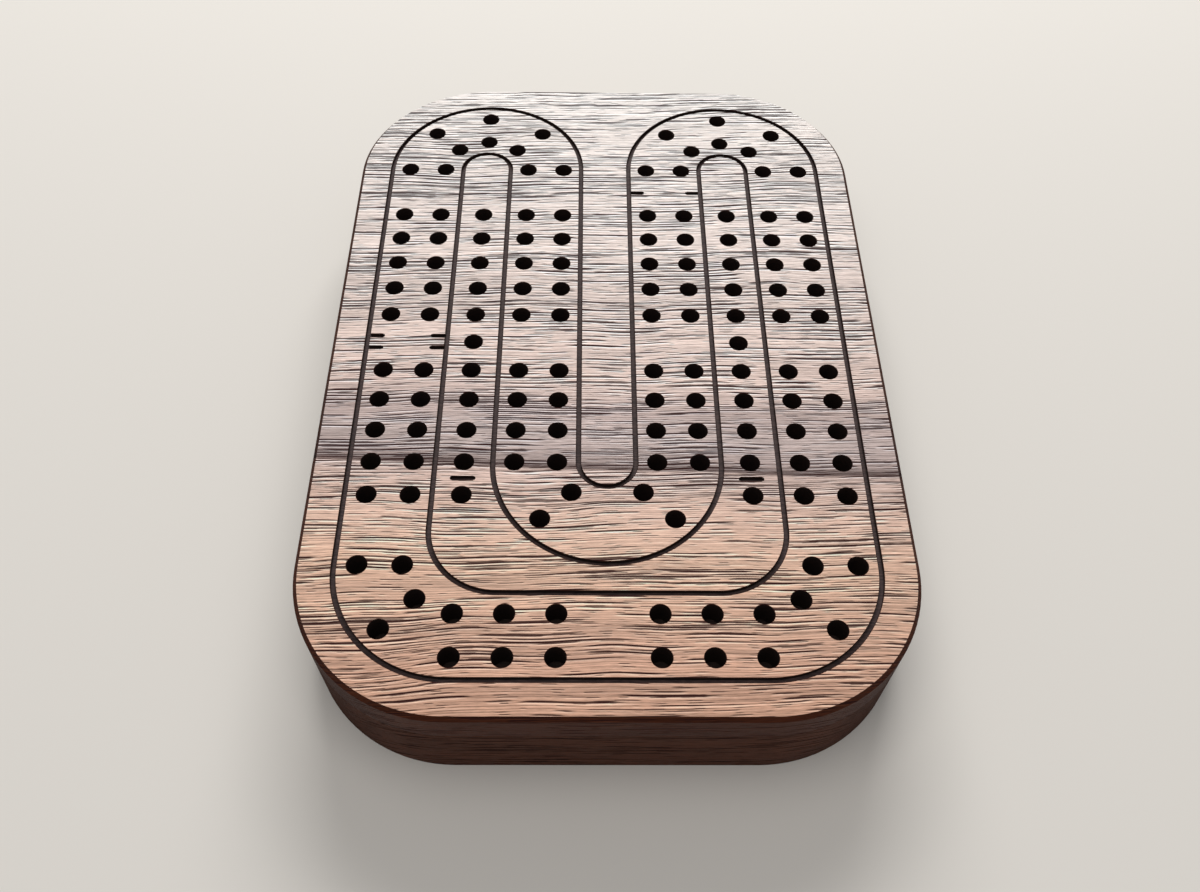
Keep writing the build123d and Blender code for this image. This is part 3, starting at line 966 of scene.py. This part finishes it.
# %% The drawer's knob
knob_low, knob_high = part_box("drawer_knob")
knob_z = (knob_low.z + knob_high.z) / 2
knob_profile = [(2.7, 0), (2.7, 0.9), (2.2, 1.15), (1.9, 2.2), (1.9, 4.2), (2.4, 4.95),
                (3.7, 5.1), (4.0, 5.5), (4.0, 7.3), (3.1, 8.2), (1.6, 8.45), (0, 8.5)]
knob_bore = [(0, 4.75), (1.04, 4.75), (1.04, 0)]
knob_easing = 0.5
knob = lathe("brass_knob", knob_bore + eased_profile(knob_profile, knob_easing),
             (0, knob_low.y, knob_z), 64)
knob.data.materials.append(brass)
smooth_by_angle(knob, turned_smoothing)
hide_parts("drawer_knob")
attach(knob, "drawer")
print("knob:", len(knob.data.polygons), "faces")

# %% [markdown]
# ## Six pegs from one
# Three pegs are brass and three are steel, all of one shape: a shank that fits the
# holes, and a grip with three grooves and a domed end. Six lathe calls would do, but
# Geometry Nodes copy one peg along a line, so a set is a count and a pitch.

# %% One peg and the tree that copies it
peg_profile = [(0, 0), (1.15, 0.1), (1.38, 0.6), (1.48, 3.0), (1.5, 17.6), (1.75, 18.0),
               (2.0, 18.35)]
for groove in (20.4, 22.4, 24.4):
    peg_profile += [(2.0, groove), (1.7, groove + 0.2), (1.7, groove + 0.6), (2.0, groove + 0.8)]
peg_profile += [(2.0, 28.6), (1.85, 29.4), (1.3, 29.9), (0, 30.0)]
peg_easing = 0.12
pegs_in_set = 3


def copying_tree():
    """A row of copies of one object."""
    tree, given = new_tree("row_of_copies", [
        ("Piece", "Object"), ("Count", "Int"), ("First", "Vector"), ("Pitch", "Vector"),
        ("Metal", "Material")])
    piece = add(tree, "GeometryNodeObjectInfo", {"Object": given["Piece"]}, out="Geometry")
    row = add(tree, "GeometryNodeMeshLine", {
        "Count": given["Count"], "Start Location": given["First"], "Offset": given["Pitch"]},
        mode="OFFSET")
    copies = add(tree, "GeometryNodeSetMaterial", {
        "Geometry": stamped(tree, piece, row), "Material": given["Metal"]})
    add(tree, "NodeGroupOutput", {"Geometry": copies})
    return tree


one_peg = lathe("one_peg", eased_profile(peg_profile, peg_easing, 2), (0, 0, 0), 32)
smooth_by_angle(one_peg, turned_smoothing)
copies = copying_tree()
print("one peg:", len(one_peg.data.polygons), "faces")

# %% Two sets of pegs
tray_pitch = (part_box("brass_peg_2")[0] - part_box("brass_peg_1")[0]).x
for metal, material, slot_name in (
        ("brass", brass, "turned_brass"), ("steel", steel, "bright_steel")):
    low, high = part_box(f"{metal}_peg_1")
    pegs = link_mesh(f"{metal}_pegs", [(0, 0, 0)], [])
    pegs.data.materials.append(material)
    set_inputs(pegs, copies, {
        "Piece": one_peg, "Count": pegs_in_set, "Pitch": (tray_pitch, 0, 0), "Metal": material,
        "First": ((low.x + high.x) / 2, low.y, (low.z + high.z) / 2)})
    settle(pegs)
    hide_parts(*[f"{metal}_peg_{n}" for n in (1, 2, 3)])
    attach(pegs, "drawer")
    print(pegs.name, len(pegs.data.polygons), "faces")
bpy.data.objects.remove(one_peg)

# %% [markdown]
# ## Pieces that keep their CAD shape
# The drawer's boards, the tray, the screw and the magnets are already right in the
# imported model, and building them again could only add error. A CAD node is never
# edited: its material slots are filled.

# %% Finish the CAD pieces
for material, slot_name, names in (
        (walnut_block, "walnut_block", ["drawer_front"]),
        (walnut_drawer, "walnut_drawer", [
            "drawer_side_left", "drawer_side_right", "drawer_back", "peg_tray"]),
        (birch_ply, "birch_ply", ["drawer_bottom"]),
        (steel, "bright_steel", ["knob_screw"]),
        (nickel, "nickel_plate", ["pocket_magnet", "drawer_magnet"])):
    for node in [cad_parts[name] for name in names]:
        if not node.material_slots:
            node.data.materials.append(material)
        for place in node.material_slots:
            place.material = material
    print("finished in", material.name + ":", names)

# %% [markdown]
# ## Floor
# The photograph's table is dark. A reusable part is shown on neutral ground instead:
# one large, plain, pale square.

# %% Lay the floor
floor_reach = 4.0
floor = link_mesh("floor", [(x * floor_reach, y * floor_reach, 0)
                            for x, y in ((-1, -1), (1, -1), (1, 1), (-1, 1))], [(0, 1, 2, 3)])
floor_paint, floor_tree, floor_shader = new_material("pale_matt_floor")
fill(floor_tree, floor_shader, {
    "Base Color": linear("#E4E1DC"), "Roughness": 0.9, "Specular IOR Level": 0.1})
floor.data.materials.append(floor_paint)
print("floor laid,", 2 * floor_reach, "m wide")

# %% [markdown]
# ## Light
# The photograph has one window beyond the far end, so the far wood shines and the near
# wall is in shade. A sun would cast hard shadows; a wide area light stands there, and a
# weak one overhead and a pale surrounding open the shade.

# %% Lights
def area_light(name, place, target, width, height, power, colour):
    """A soft rectangular lamp aimed at a point; power in watts."""
    data = bpy.data.lights.new(name, "AREA")
    data.shape = "RECTANGLE"
    data.size, data.size_y = width, height
    data.energy = power
    data.color = linear(colour)[:3]
    lamp = bpy.data.objects.new(name, data)
    bpy.context.scene.collection.objects.link(lamp)
    aim = (Vector(place) - Vector(target)).to_track_quat("Z", "Y")
    lamp.matrix_world = Matrix.Translation(place) @ aim.to_matrix().to_4x4()
    return lamp


window = area_light("window", (0.04, 0.75, 0.52), (0, 0.02, 0.02), 0.6, 0.42, 7.4, "#FFFDFA")
overhead = area_light("overhead", (-0.1, -0.1, 1.1), (0, 0, 0), 0.9, 0.9, 4.4, "#FFFAF4")
world = bpy.data.worlds.new("studio")
bpy.context.scene.world = world
world.use_nodes = True
fill(world.node_tree, world.node_tree.nodes["Background"], {
    "Color": linear("#F2F4F7"), "Strength": 0.22})
bpy.context.scene.view_settings.view_transform = "Standard"
print("lamps:", window.name, overhead.name)
